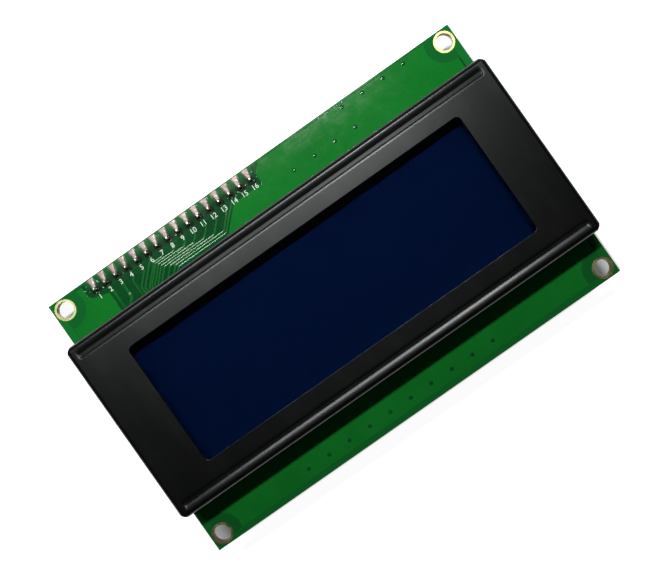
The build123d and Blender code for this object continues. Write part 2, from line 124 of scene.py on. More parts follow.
class Nodes:
    """Short ways to add nodes to a node tree."""

    def __init__(self, tree, coordinates):
        self.tree = tree
        self.coord = self.add("TexCoord").outputs[coordinates]

    def add(self, kind):
        return self.tree.nodes.new("ShaderNode" + kind)

    def put(self, socket, value):
        if isinstance(value, bpy.types.NodeSocket):
            self.tree.links.new(value, socket)
        else:
            socket.default_value = value

    def fill(self, made, values):
        for key, value in values.items():
            self.put(made.inputs[key], value)

    def noise(self, scale, detail=3.0, rough=0.55, vector=None, distortion=0.0):
        made = self.add("TexNoise")
        values = {"Scale": scale, "Detail": detail, "Roughness": rough}
        self.fill(made, values | {"Distortion": distortion, "Vector": vector or self.coord})
        return made.outputs["Fac"]

    def wave(self, scale, direction):
        made = self.add("TexWave")
        made.bands_direction = direction
        values = {"Scale": scale, "Distortion": 1.5, "Detail Scale": 2.0}
        self.fill(made, values | {"Vector": self.coord})
        return made.outputs["Fac"]

    def ramp(self, value, low, high, start=0.0, end=1.0):
        """From start to end as the value goes from low to high."""
        made = self.add("MapRange")
        made.interpolation_type = "SMOOTHSTEP"
        values = {"Value": value, "From Min": low, "From Max": high}
        self.fill(made, values | {"To Min": start, "To Max": end})
        return made.outputs["Result"]

    def math(self, kind, a, b=0.0):
        made = self.add("Math")
        made.operation = kind
        self.put(made.inputs[0], a)
        self.put(made.inputs[1], b)
        return made.outputs[0]

    def add_up(self, a, b):
        return self.math("ADD", a, b)

    def take(self, a, b):
        return self.math("SUBTRACT", a, b)

    def times(self, a, b):
        return self.math("MULTIPLY", a, b)

    def larger(self, a, b):
        return self.math("MAXIMUM", a, b)

    def size(self, a):
        return self.math("ABSOLUTE", a)

    def distance(self, a, b):
        squares = self.add_up(self.times(a, a), self.times(b, b))
        return self.math("SQRT", squares)

    def mix(self, share, a, b):
        made = self.add("Mix")
        made.data_type = "RGBA"
        self.fill(made, {"Factor": share, "A": a, "B": b})
        return made.outputs["Result"]

    def axis(self, index, source=None):
        made = self.add("SeparateXYZ")
        self.put(made.inputs[0], source or self.coord)
        return made.outputs[index]

    def steepness(self):
        """1 on faces that look up or down, 0 on upright ones."""
        return self.size(self.axis(2, self.add("NewGeometry").outputs["Normal"]))

    def scaled(self, x, y, z):
        made = self.add("Mapping")
        self.fill(made, {"Scale": (x, y, z), "Vector": self.coord})
        return made.outputs["Vector"]


class Surface(Nodes):
    """A material and the nodes that feed its Principled shader."""

    def __init__(self, name, roughness=0.5, metallic=0.0, specular=0.5):
        self.material = bpy.data.materials.new(name)
        self.material.use_nodes = True
        super().__init__(self.material.node_tree, "Object")
        self.shader = self.tree.nodes["Principled BSDF"]
        values = {"Roughness": roughness, "Metallic": metallic}
        self.fill(self.shader, values | {"Specular IOR Level": specular})
        self.relief = None

    def linked(self, name):
        """What already feeds one of the shader's inputs."""
        return self.shader.inputs[name].links[0].from_socket

    def colour(self, value):
        self.put(self.shader.inputs["Base Color"], value)

    def roughness(self, value):
        self.put(self.shader.inputs["Roughness"], value)

    def show(self, shader):
        self.put(self.tree.nodes["Material Output"].inputs["Surface"], shader)

    def blend(self, share, first, second):
        made = self.add("MixShader")
        for socket, value in zip(made.inputs, (share, first, second)):
            self.put(socket, value)
        return made.outputs[0]

    def bump(self, height, depth):
        """Fine relief, its depth in metres, on top of what is there."""
        made = self.add("Bump")
        self.fill(made, {"Strength": 1.0, "Distance": depth, "Height": height})
        if self.relief is not None:
            self.put(made.inputs["Normal"], self.relief)
        self.relief = made.outputs["Normal"]
        self.put(self.shader.inputs["Normal"], self.relief)


def dress(names, surface):
    for name in names:
        for slot in nodes[name].material_slots:
            slot.material = surface.material


# The board's green mask, its marks, and painted light and shade on it
def flux_haze(s):
    """Where dried flux dulls the gloss, beside the right end of the contact row."""
    x, y = s.axis(0), s.axis(1)
    near_x = s.times(s.ramp(x, *HAZE_IN_X), s.ramp(x, *HAZE_OUT_X, start=1.0, end=0.0))
    cloud = s.noise(scale=260.0, detail=4.0, rough=0.6, distortion=1.2)
    return s.times(s.times(near_x, s.ramp(y, *HAZE_IN_Y)), s.ramp(cloud, low=0.42, high=0.68))


def row_offset(s):
    """Distance along X from the nearest contact's middle line, in millimetres."""
    turn = s.add_up(s.math("DIVIDE", s.axis(0), CONTACT_PITCH * MM), 0.5)
    turn = s.take(turn, CONTACT_START / CONTACT_PITCH)
    return s.times(s.take(s.math("FRACT", turn), 0.5), CONTACT_PITCH)


def row_reach(s):
    """1 over the length of the contact row, fading at its ends."""
    x = s.axis(0)
    return s.times(s.ramp(x, *ROW_IN_X), s.ramp(x, *ROW_OUT_X, start=1.0, end=0.0))


def scorch_and_shadow(s):
    """Burnt flux and painted shadow in a ragged dark patch below each contact."""
    across = s.math("DIVIDE", row_offset(s), SCORCH_SHADOW_HALF_X)
    along = s.math("DIVIDE", s.take(s.axis(1), SCORCH_SHADOW_Y), SCORCH_SHADOW_HALF_Y)
    far = s.distance(across, along)
    ragged = 1.3
    edge = s.times(s.noise(scale=1500.0, detail=4.0, rough=0.65), ragged)
    far = s.add_up(far, s.take(edge, ragged / 2))
    return s.times(s.ramp(far, low=0.7, high=1.15, start=1.0, end=0.0), row_reach(s))


def near_hole(s):
    """1 round the four mounting holes, where there is no copper."""
    x = s.take(s.size(s.axis(0)), HOLE_X * MM)
    y = s.take(s.size(s.axis(1)), HOLE_Y * MM)
    return s.ramp(s.distance(x, y), *BARE_RING, start=1.0, end=0.0)


def mask_surface(name, light, dark, gloss=0.062):
    """Clouded green over a faint weave, with painted shade darkening it towards the board's lower
    side.
    """
    s = Surface(name, roughness=0.07)
    tone = s.mix(s.ramp(s.noise(scale=90.0, detail=4.0), low=0.3, high=0.7), light, dark)
    grain = s.ramp(s.noise(scale=2600.0, detail=2.0), low=0.45, high=0.75, end=0.12)
    tone = s.mix(grain, tone, srgb(40, 140, 60))
    # Painted shade: the green darkens towards the board's lower side.
    tone = s.mix(s.ramp(s.axis(1), *MASK_PAINTED_SHADE_Y, start=0.24, end=0.0), tone, BLACK)
    haze = flux_haze(s)
    pale_share, dull_share = 0.05, 0.014
    s.colour(s.mix(s.times(haze, pale_share), tone, srgb(150, 175, 150)))
    smear = s.ramp(s.noise(scale=500.0), low=0.4, high=0.7, end=0.018)
    s.roughness(s.add_up(s.add_up(smear, gloss), s.times(haze, dull_share)))
    weave = s.add_up(s.wave(320.0, "X"), s.wave(320.0, "Y"))
    s.bump(weave, depth=0.0000004)
    s.bump(s.noise(scale=700.0, detail=2.0), depth=0.0000007)
    return s


def board_surface():
    """Mask over bare glass fibre, with its rim lighter as painted light, painted light and shadow
    along the contact row, burnt flux and painted shadow below the contacts, and its sides.
    """
    s = mask_surface("board_mask", srgb(12, 70, 34), srgb(9, 60, 28))
    x, y = s.size(s.axis(0)), s.axis(1)
    # Painted light: the rim along the board's edges and round the holes is a lighter green,
    # standing in for light shining through the thin laminate; painted shade darkens it towards
    # the lower side.
    rim = s.larger(s.ramp(x, *RIM_SIDE_X), s.ramp(y, *RIM_FOOT_Y))
    rim = s.larger(rim, s.ramp(y, *RIM_TOP_Y, end=0.8))
    hole_share = 0.65
    rim = s.larger(rim, s.times(near_hole(s), hole_share))
    rim_lit_green = s.mix(s.ramp(y, *RIM_PAINTED_SHADE_Y), srgb(15, 84, 33), srgb(20, 106, 42))
    masked = s.mix(rim, s.linked("Base Color"), rim_lit_green)
    # Painted light: a lighter band on the bare board between the contacts, near the board's edge.
    row_painted_light = s.times(row_reach(s), s.ramp(y, *ROW_LIGHT_Y, end=0.6))
    masked = s.mix(row_painted_light, masked, srgb(24, 104, 46))
    # Painted shadow: a dark band below the contacts, where the solder shades the board between
    # them.
    row_painted_shadow = s.times(s.ramp(y, *ROW_SHADOW_IN_Y), s.ramp(y, *ROW_SHADOW_OUT_Y, start=0.35, end=0.0))
    masked = s.mix(s.times(row_painted_shadow, row_reach(s)), masked, srgb(6, 34, 16))
    # A ragged patch below each contact: brown burnt flux in places, painted shadow of the solder
    # in dark green elsewhere.
    burn_and_shadow_tone = s.ramp(s.noise(scale=1900.0), low=0.45, high=0.6)
    masked = s.mix(scorch_and_shadow(s), masked, s.mix(burn_and_shadow_tone, srgb(8, 26, 14), srgb(40, 20, 10)))
    layers = s.noise(scale=1500.0, vector=s.scaled(0.15, 0.15, 3.0))
    core = s.mix(s.ramp(layers, low=0.35, high=0.65), srgb(150, 158, 96), srgb(108, 122, 66))
    side = s.ramp(s.steepness(), low=0.4, high=0.6, start=1.0, end=0.0)
    s.colour(s.mix(side, masked, core))
    side_roughness = 0.45
    s.roughness(s.add_up(s.linked("Roughness"), s.times(side, side_roughness)))
    return s


# Metals, lacquer, films and plastics
def metal_surface(name, bright, dull, roughness, grain_scale, grain_depth):
    s = Surface(name, roughness=roughness, metallic=1.0)
    s.colour(s.mix(s.ramp(s.noise(scale=700.0, detail=4.0), low=0.35, high=0.7), bright, dull))
    spread = 0.06
    polish = s.noise(scale=1200.0)
    s.roughness(
        s.ramp(polish, low=0.3, high=0.7, start=roughness - spread, end=roughness + spread)
    )
    s.bump(s.noise(grain_scale), grain_depth)
    return s


def ring_surface():
    """Plated rings: pale on top, browner down the barrel's wall."""
    s = metal_surface(
        "ring_plating", srgb(180, 182, 124), srgb(152, 154, 100), 0.36, 2400.0, 0.000004
    )
    wall = s.ramp(s.steepness(), low=0.3, high=0.7, start=1.0, end=0.0)
    s.colour(s.mix(wall, s.linked("Base Color"), srgb(176, 150, 122)))
    return s


def land_surface():
    """Tinned lands, blackened where they end at the pins by burnt flux and by painted shade of
    the solder's lower side.
    """
    s = metal_surface(
        "contact_land", srgb(120, 116, 100), srgb(84, 82, 66), 0.55, 2600.0, 0.000006
    )
    # Painted shade with burnt flux: the lands turn dark and lose their metal below the solder.
    burnt_and_shaded = s.ramp(s.axis(1), *LAND_BURNT_SHADE_Y, start=1.0, end=0.0)
    s.colour(s.mix(burnt_and_shaded, s.linked("Base Color"), srgb(9, 24, 12)))
    s.put(s.shader.inputs["Metallic"], s.take(1.0, burnt_and_shaded))
    s.shader.inputs["Specular IOR Level"].default_value = 0.12
    return s


def bezel_surface():
    """Black lacquer with a fine grain and a faintly rubbed gloss."""
    s = Surface("bezel_lacquer", roughness=0.3, specular=0.3)
    s.colour(s.mix(s.ramp(s.noise(scale=160.0), low=0.3, high=0.7), srgb(4, 4, 5), srgb(6, 6, 6)))
    streaks = s.noise(scale=220.0, detail=5.0, rough=0.65, vector=s.scaled(1.0, 0.35, 1.0))
    least_roughness = 0.29
    s.roughness(s.add_up(s.ramp(streaks, low=0.45, high=0.75, end=0.04), least_roughness))
    s.shader.inputs["Specular Tint"].default_value = (0.93, 1.0, 0.96, 1.0)
    s.bump(s.noise(scale=4200.0, detail=2.0), depth=0.0000025)
    s.bump(s.noise(scale=1400.0, detail=2.0), depth=0.000003)
    return s


def film_surface(name, tint, ior):
    """A see-through film: what passes it is tinted, and its faces mirror a little."""
    s = Surface(name, roughness=0.06)
    through = s.add("BsdfTransparent")
    s.put(through.inputs["Color"], tint)
    mirror = s.add("BsdfAnisotropic")
    s.fill(mirror, {"Roughness": 0.06, "Color": WHITE})
    share = s.add("Fresnel")
    share.inputs["IOR"].default_value = ior
    s.show(s.blend(share.outputs[0], through.outputs[0], mirror.outputs[0]))
    s.tree.nodes.remove(s.shader)
    return s


def plastic_surface(name, light, dark, roughness, grain_depth=0.000006, grain_scale=1800.0):
    s = Surface(name, roughness=roughness)
    tone = s.ramp(s.noise(scale=300.0, detail=4.0), low=0.3, high=0.7)
    s.colour(s.mix(tone, srgb(*light), srgb(*dark)))
    finish = s.noise(scale=900.0)
    s.roughness(s.ramp(finish, low=0.3, high=0.7, start=roughness - 0.06, end=roughness + 0.08))
    s.bump(s.noise(grain_scale), grain_depth)
    return s


def print_surface():
    """White print, worn a little to the green below it."""
    s = Surface("white_print", roughness=0.55)
    worn = s.ramp(s.noise(scale=2200.0), low=0.5, high=0.8)
    s.colour(s.mix(worn, srgb(206, 220, 206), srgb(150, 180, 152)))
    s.bump(s.noise(scale=5000.0, detail=2.0), depth=0.000004)
    return s


board_mask = board_surface()
pour_mask = mask_surface("pour_mask", srgb(18, 112, 37), srgb(15, 104, 33))
track_mask = mask_surface("track_mask", srgb(20, 100, 38), srgb(17, 92, 34), gloss=0.11)
track_mask.shader.inputs["Specular IOR Level"].default_value = 0.16
via_mask = mask_surface("via_mask", srgb(16, 78, 34), srgb(12, 62, 28))
ring_metal = ring_surface()
tin_metal = metal_surface(
    "tinned_contact", srgb(170, 162, 154), srgb(144, 136, 128), 0.56, 2600.0, 0.00001
)
land_metal = land_surface()
pin_metal = metal_surface(
    "pin_tin", srgb(196, 196, 182), srgb(168, 168, 156), 0.44, 3200.0, 0.000003
)
lacquer = bezel_surface()
polarizer_film = film_surface("window_film", (0.002, 0.021, 0.085, 1.0), 1.45)
rear_film = film_surface("rear_film", (0.62, 0.74, 0.84, 1.0), 1.2)
cell_glass = film_surface("cell_glass", (0.985, 0.99, 0.985, 1.0), 1.2)
white_print = print_surface()

# Plastics and resins: light and dark colour, roughness, then the grain's depth and scale
PLASTICS = {
    "header_plastic": ((22, 22, 23), (16, 16, 17), 0.42),
    "case_plastic": ((226, 226, 220), (216, 215, 208), 0.45),
    "diffuser_film": ((222, 224, 226), (214, 216, 219), 0.6, 0.000002),
    "guide_acrylic": ((216, 222, 224), (206, 213, 216), 0.2, 0.000001),
    "seal_resin": ((150, 152, 140), (138, 140, 128), 0.5),
    "strip_rubber": ((178, 132, 140), (152, 110, 118), 0.7),
    "led_resin": ((236, 226, 150), (226, 214, 130), 0.35),
    "dome_resin": ((20, 20, 21), (14, 14, 15), 0.3, 0.00001, 700.0),
    "resistor_body": ((26, 26, 28), (20, 20, 22), 0.35),
    "capacitor_body": ((156, 120, 84), (140, 106, 72), 0.4),
    "led_board_mask": ((22, 96, 44), (16, 80, 36), 0.3),
    "dried_flux": ((176, 204, 176), (120, 164, 124), 0.55, 0.000004, 4000.0),
}
plastics = {name: plastic_surface(name, *values) for name, values in PLASTICS.items()}

dress(["circuit_board"], board_mask)
dress([f"hole_plating_{i}" for i in (1, 2, 3, 4)], ring_metal)
dress(["lead_solder"], tin_metal)
dress([f"header_pin_{i + 1}" for i in range(CONTACT_COUNT)], pin_metal)
dress(["backlight_lead_1", "backlight_lead_2"], pin_metal)
dress(["bezel"], lacquer)
dress(["front_polarizer"], polarizer_film)
dress(["rear_polarizer"], rear_film)
dress(["front_glass", "rear_glass"], cell_glass)
dress(["header_body"], plastics["header_plastic"])
dress(["cell_seal"], plastics["seal_resin"])
dress(["conductive_upper_strip", "conductive_lower_strip"], plastics["strip_rubber"])
dress(["backlight_case"], plastics["case_plastic"])
dress(["reflector", "diffuser"], plastics["diffuser_film"])
dress(["light_guide"], plastics["guide_acrylic"])
dress(["led_board"], plastics["led_board_mask"])
dress([f"led_{i}" for i in (1, 2, 3, 4)], plastics["led_resin"])
dress([f"chip_dome_{i}" for i in (1, 2, 3)], plastics["dome_resin"])
dress(["resistors"], plastics["resistor_body"])
dress(["capacitors"], plastics["capacitor_body"])
for name in ("front_polarizer", "front_glass", "rear_glass", "rear_polarizer"):
    nodes[name].visible_shadow = False


# Helpers for meshes, whose measures are in millimetres
WELD = 0.0000005  # metres


def piece(name, bm, surface):
    bmesh.ops.remove_doubles(bm, verts=bm.verts, dist=WELD)
    bmesh.ops.recalc_face_normals(bm, faces=bm.faces)
    mesh = bpy.data.meshes.new(name)
    bm.to_mesh(mesh)
    bm.free()
    mesh.materials.append(surface.material)
    made = bpy.data.objects.new(name, mesh)
    scene.collection.objects.link(made)
    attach(made, "root")
    return made


def vertex(bm, x, y, z):
    return bm.verts.new((x * MM, y * MM, z * MM))


def join(bm, loops, closed=True):
    """Smooth faces from each loop of vertices to the next."""
    for low, high in zip(loops, loops[1:]):
        count = len(low)
        for k in range(count if closed else count - 1):
            n = (k + 1) % count
            face = bm.faces.new((low[k], low[n], high[n], high[k]))
            face.smooth = True


def arc(cx, cy, radius, start, end, count=24):
    """Points on an arc, angles in degrees."""
    turns = [math.radians(start + (end - start) * i / count) for i in range(count + 1)]
    return [(cx + radius * math.cos(t), cy + radius * math.sin(t)) for t in turns]


def rounded_path(path, radius, count=4):
    """The path with each inner corner replaced by a short arc-like curve."""
    most_share = 1 / 2.2
    made = [path[0]]
    for before, corner, after in zip(path, path[1:], path[2:]):
        here = Vector(corner)
        ins = Vector(before) - here
        outs = Vector(after) - here
        reach = min(radius, ins.length * most_share, outs.length * most_share)
        first, last = here + ins.normalized() * reach, here + outs.normalized() * reach
        for i in range(count + 1):
            t = i / count
            point = first * (1 - t) ** 2 + here * (2 * t * (1 - t)) + last * t**2
            made.append((point.x, point.y))
    return made + [path[-1]]


def side_steps(points, closed):
    """Miter directions to the left of each point of a path."""
    sharpest = 0.35
    count = len(points)
    steps = []
    for i, point in enumerate(points):
        here = Vector(point)
        before = Vector(points[i - 1]) if closed or i else None
        after = Vector(points[(i + 1) % count]) if closed or i < count - 1 else None
        ins = (here - before).normalized() if before is not None else None
        outs = (after - here).normalized() if after is not None else None
        ins = ins if ins is not None else outs
        outs = outs if outs is not None else ins
        middle = (ins + outs).normalized()
        left = Vector((-middle.y, middle.x))
        steps.append(left / max(left.dot(Vector((-ins.y, ins.x))), sharpest))
    return steps


def bump_profile(half, height, flat=0.0, count=6):
    """Cross-section of a masked track: even sides with a rounded foot and top."""
    softness = 14.0
    rise = half - flat
    sides = []
    for i in range(count + 1):
        t = i / count
        level = height * (t - math.sin(2 * math.pi * t) / softness)
        sides.append((half - rise * t, level))
    return [(-d, h) for d, h in sides] + [(d, h) for d, h in reversed(sides) if d > 0.001]


# Slope of a masked copper area's edge: distance from the edge inwards, and height
EDGE_PROFILE = [(0.0, 0.0), (0.015, 0.01), (0.035, 0.017)]
EDGE_HEIGHT = 0.017
CORNER_RADIUS = 0.25
LEAST_SHARE = 0.12  # of the height of a ridge that doesn't run along X
SLANT_LIMIT = 0.8


def sweep(bm, path, profile, z):
    """A low rounded ridge along a path, lower where it doesn't run along X."""
    points = rounded_path(path, CORNER_RADIUS)
    rows = []
    for (x, y), step in zip(points, side_steps(points, False)):
        level = max(0.0, abs(step.normalized().y) - SLANT_LIMIT) / (1.0 - SLANT_LIMIT)
        full = LEAST_SHARE + (1.0 - LEAST_SHARE) * level
        rows.append(
            [vertex(bm, x + step.x * d, y + step.y * d, z + h * full) for d, h in profile]
        )
    join(bm, rows, closed=False)
    for low, high in zip(rows, rows[1:]):
        bm.faces.new((low[-1], low[0], high[0], high[-1]))
    for row in (rows[0], rows[-1]):
        bm.faces.new(row)


def plateau(bm, outline, z):
    """A low flat area with a sloped edge; the outline runs anticlockwise."""
    steps = side_steps(outline, True)
    loops = []
    for d, h in EDGE_PROFILE:
        loops.append(
            [vertex(bm, x + s.x * d, y + s.y * d, z + h) for (x, y), s in zip(outline, steps)]
        )
    join(bm, loops)
    for loop in (loops[0], loops[-1]):
        corners = [vert.co.copy() for vert in loop]
        for a, b, c in tessellate_polygon([corners]):
            bm.faces.new((loop[a], loop[b], loop[c]))


# Tracks from the contacts to the display's driver chips
PAD_FOOT = 26.7
BEZEL_EDGE = BEZEL_HALF_Y - 0.3
DATA_ROWS = [25.1, 24.67, 24.19, 23.65, 23.13, 22.6, 22.08, 21.48]
DATA_LEFT = [-26.3, -26.15, -25.8, -25.5, -25.06, -24.06, -23.1, -22.7]
DATA_RIGHT = [-24.3, -21.7, -19.4, -17.5, -15.3, -13.2, -11.17, -11.0]
DATA_FEET = [-29.95, -29.35, -28.75, -28.1, -27.45, -26.75, -26.0, -25.3]
FIRST_DATA = 6
TRACK = bump_profile(0.17, 0.0105)
WIDE_TRACK = bump_profile(0.29, 0.014, flat=0.08)
PLAIN_TRACKS = (
    ([(-36.46, PAD_FOOT), (-36.46, 25.2), (-36.3, 25.0), (-36.3, BEZEL_EDGE)], WIDE_TRACK),
    ([(-33.92, PAD_FOOT), (-33.92, 22.1), (-36.1, BEZEL_EDGE)], WIDE_TRACK),
    ([(-31.38, PAD_FOOT), (-31.38, 25.0), (-31.9, 24.48), (-31.9, BEZEL_EDGE)], TRACK),
    ([(-28.84, PAD_FOOT), (-28.84, 24.85), (-31.25, 22.44), (-31.25, BEZEL_EDGE)], TRACK),
    ([(-26.3, PAD_FOOT), (-26.3, 26.3), (-30.6, 22.0), (-30.6, BEZEL_EDGE)], TRACK),
)


def data_track(number):
    """Up from under the bezel, along a row, then up to a contact."""
    x, y = CONTACTS[FIRST_DATA + number], DATA_ROWS[number]
    left, right, foot = DATA_LEFT[number], DATA_RIGHT[number], DATA_FEET[number]
    slant_foot, slant_top = (foot, y - (left - foot)), (x, y + (x - right))
    return [(foot, BEZEL_EDGE), slant_foot, (left, y), (right, y), slant_top, (x, PAD_FOOT)]


def front_tracks():
    bm = bmesh.new()
    for path, profile in PLAIN_TRACKS:
        sweep(bm, path, profile, BOARD_FRONT)
    for number in range(len(DATA_ROWS)):
        sweep(bm, data_track(number), TRACK, BOARD_FRONT)
    piece("front_tracks", bm, track_mask)


front_tracks()

# Copper areas under the mask, cut back round the holes and the contacts
POUR_LEFT = -47.35
POUR_RIGHT = 47.05
POUR_TOP = 29.6
POUR_FOOT = -28.75
RING_GAP = 4.15
RING_END = 27.0  # degrees, where the upper left ring cut starts
UNDER_BEZEL = BEZEL_HALF_Y - 1.2
LEFT_STEPS = [(-37.17, UNDER_BEZEL), (-37.17, 25.3), (-40.6, 26.3), (-41.2, 27.0), (-41.2, 29.3)]
RIGHT_STEPS = [(2.4, POUR_TOP), (0.6, 27.8), (0.6, 25.5), (-6.3, 25.5), (-10.55, 21.25)]
RIGHT_END = [(-10.55, UNDER_BEZEL)]
LIP = bump_profile(0.055, 0.004)
LIP_Y = POUR_TOP - 0.06
LIP_ENDS = (2.8, 42.1)


def pour_outlines():
    top_cut = math.degrees(math.asin((POUR_TOP - HOLE_Y) / RING_GAP))
    foot_cut = math.degrees(math.asin((-POUR_FOOT - HOLE_Y) / RING_GAP))
    left_cut = math.degrees(math.acos((HOLE_X + POUR_LEFT) / RING_GAP))
    right_cut = math.degrees(math.asin((POUR_RIGHT - HOLE_X) / RING_GAP))
    upper_left = LEFT_STEPS + arc(-HOLE_X, HOLE_Y, RING_GAP, RING_END, -left_cut)
    upper_left += [(POUR_LEFT, UNDER_BEZEL)]
    upper_right = [(POUR_RIGHT, UNDER_BEZEL)]
    upper_right += arc(HOLE_X, HOLE_Y, RING_GAP, 270.0 + right_cut, 180.0 - top_cut)
    upper_right += RIGHT_STEPS + RIGHT_END
    lower = [(POUR_LEFT, -UNDER_BEZEL)]
    lower += arc(-HOLE_X, -HOLE_Y, RING_GAP, left_cut, -foot_cut)
    lower += arc(HOLE_X, -HOLE_Y, RING_GAP, 180.0 + foot_cut, 90.0 - right_cut)
    lower += [(POUR_RIGHT, -UNDER_BEZEL)]
    return [upper_left, upper_right, lower]


def front_pour():
    bm = bmesh.new()
    for outline in pour_outlines():
        plateau(bm, outline, BOARD_FRONT)
    sweep(bm, [(x, LIP_Y) for x in LIP_ENDS], LIP, BOARD_FRONT + EDGE_HEIGHT)
    piece("front_pour", bm, pour_mask)


front_pour()


# Mask domed over each plugged connection, on both faces of the board: radius and height
VIA_PROFILE = [
    (0.52, 0.0), (0.48, 0.006), (0.43, 0.018), (0.37, 0.033), (0.3, 0.05), (0.24, 0.066),
    (0.18, 0.079), (0.12, 0.088), (0.07, 0.092), (0.03, 0.093),
]
VIA_SIDES = 24


def via_domes():
    bm = bmesh.new()
    turns = [k * (2 * math.pi / VIA_SIDES) for k in range(VIA_SIDES)]
    for face_z, side in ((BOARD_FRONT, 1.0), (0.0, -1.0)):
        for cx, cy in VIAS:
            loops = []
            for r, h in VIA_PROFILE:
                z = face_z + side * h
                loops.append(
                    [vertex(bm, cx + r * math.cos(t), cy + r * math.sin(t), z) for t in turns]
                )
            join(bm, loops)
            bm.faces.new(loops[0])
            bm.faces.new(loops[-1])
    made = piece("via_domes", bm, via_mask)
    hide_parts("via_plating")


via_domes()


# Each contact's copper land narrows from the board's edge to its pin: half width and Y
LAND_SIDE = [(0.56, 27.7), (0.84, 29.4), (0.84, 29.84)]
LAND_END_Y = 27.15
LAND_END_RADIUS = 0.5
LAND_END_STEPS = 12


def land_outline(x):
    end = arc(x, LAND_END_Y, LAND_END_RADIUS, 180.0, 360.0, LAND_END_STEPS)
    right = [(x + half, y) for half, y in LAND_SIDE]
    left = [(x - half, y) for half, y in reversed(LAND_SIDE)]
    return end + right + left


def contact_lands():
    bm = bmesh.new()
    for x in CONTACTS:
        plateau(bm, land_outline(x), BOARD_FRONT)
    made = piece("contact_lands", bm, land_metal)
    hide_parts("contact_pads")


# Dull solder lies on each land as a wedge that rises to its pin
SOLDER_SEED = 7
SOLDER_COLUMNS = 16
SOLDER_ROWS = 48
SOLDER_FOOT_Y = 27.3
SOLDER_TOP_Y = 29.84
SOLDER_LIFT_Z = 0.02
LEAST_HEIGHT = 0.1
RISE_HEIGHT = 0.5
RISE_START_Y = 29.8
RISE_LENGTH = 1.9
FALL_Y = 27.58
FALL_LENGTH = 0.04
FOOT_HALF = 0.5
TOP_GROWTH = 0.34
FOOT_ROUNDING = 0.7
TOP_ROUNDING = 0.12
FOOT_LEAST = 0.015
TOP_LEAST = 0.03
DOME_FLATNESS = 3.4
DOME_FULLNESS = 0.7
WAVER = 0.05
WAVER_TURN = 2.1
RIPPLE_TURN = 6.3
RIPPLE_SLANT = 4.0


def solder_height(y, lift):
    rise = max(0.0, min(1.0, (RISE_START_Y - y) / RISE_LENGTH))
    fall = 1.0 / (1.0 + math.exp(-(y - FALL_Y) / FALL_LENGTH))
    return (LEAST_HEIGHT + lift * RISE_HEIGHT * rise) * fall


def solder_half(y, share, wide, phase):
    """Half the wedge's width, rounded at both ends and a little uneven."""
    foot = max(FOOT_LEAST, (y - SOLDER_FOOT_Y) / FOOT_ROUNDING)
    top = max(TOP_LEAST, (SOLDER_TOP_Y - y) / TOP_ROUNDING)
    end = min(1.0, foot, top)
    half = wide * (FOOT_HALF + TOP_GROWTH * share) * math.sqrt(end * (2.0 - end))
    return half * (1.0 + WAVER * math.sin(WAVER_TURN * y + phase))


def solder_bodies():
    draw = random.Random(SOLDER_SEED)
    bm = bmesh.new()
    for cx in CONTACTS:
        lean, lift = draw.uniform(-0.07, 0.07), draw.uniform(0.72, 0.95)
        phase, wide = draw.uniform(0.0, 6.28), draw.uniform(0.97, 1.05)
        grid = []
        for j in range(SOLDER_ROWS + 1):
            y = SOLDER_FOOT_Y + (SOLDER_TOP_Y - SOLDER_FOOT_Y) * j / SOLDER_ROWS
            share = (y - SOLDER_FOOT_Y) / (SOLDER_TOP_Y - SOLDER_FOOT_Y)
            half = solder_half(y, share, wide, phase)
            middle = cx + lean * (1.0 - share)
            row = []
            for i in range(SOLDER_COLUMNS + 1):
                across = math.sin((2.0 * i / SOLDER_COLUMNS - 1.0) * math.pi / 2)
                dome = max(0.0, 1.0 - abs(across) ** DOME_FLATNESS) ** DOME_FULLNESS
                ripple = 1.0 + WAVER * math.sin(RIPPLE_TURN * y + RIPPLE_SLANT * across + phase)
                height = solder_height(y, lift) * dome * ripple
                x = middle + half * across
                row.append(vertex(bm, x, y, BOARD_FRONT + SOLDER_LIFT_Z + height))
            grid.append(row)
        join(bm, grid, closed=False)
        rim = [row[0] for row in grid] + grid[-1][1:] + [row[-1] for row in grid[-2::-1]]
        rim += grid[0][-2:0:-1]
        bm.faces.new(rim)
    made = piece("solder_bodies", bm, tin_metal)
    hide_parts("solder_joints")


contact_lands()
solder_bodies()


# Dried flux in pale flecks beside the contacts: middle, half length, half width and turn
FLECKS = [
    (-41.15, 28.3, 0.5, 0.07, -24.0), (-40.35, 28.9, 0.2, 0.05, -5.0),
    (-40.3, 27.65, 0.16, 0.05, 10.0), (-37.9, 28.62, 0.4, 0.12, -72.0),
    (-36.0, 29.3, 0.12, 0.09, 30.0), (-35.82, 29.62, 0.13, 0.09, 70.0),
    (-37.57, 26.86, 0.2, 0.12, -35.0), (-39.25, 26.75, 0.2, 0.06, 25.0),
    (-38.8, 26.55, 0.24, 0.05, 10.0), (-32.57, 26.86, 0.1, 0.08, 0.0),
    (-30.57, 29.6, 0.13, 0.09, 0.0), (-28.0, 29.4, 0.22, 0.06, -80.0),
    (-22.95, 29.3, 0.34, 0.09, -70.0), (-22.4, 29.0, 0.14, 0.05, -60.0),
    (-19.5, 26.99, 0.2, 0.1, -30.0), (-20.85, 26.75, 0.2, 0.05, 20.0),
    (-15.2, 29.45, 0.25, 0.05, -75.0), (-12.7, 29.45, 0.3, 0.1, -72.0),
    (-10.1, 29.5, 0.3, 0.07, -78.0), (-6.7, 26.98, 0.11, 0.08, 0.0),
    (-5.07, 26.5, 0.16, 0.1, 30.0), (-4.35, 26.84, 0.18, 0.1, -25.0),
    (-4.05, 26.56, 0.14, 0.09, -50.0), (-2.3, 27.1, 0.18, 0.06, 15.0),
    (-0.35, 26.9, 0.16, 0.06, 60.0), (0.15, 28.6, 0.12, 0.09, 0.0),
    (0.45, 27.2, 0.14, 0.05, -40.0),
]
FLECK_SEED = 11
FLECK_CORNERS = 12
FLECK_PROFILE = ((1.0, 0.0), (0.82, 0.014), (0.4, 0.02))  # share of the size, and height
FLECK_GAP = 0.002


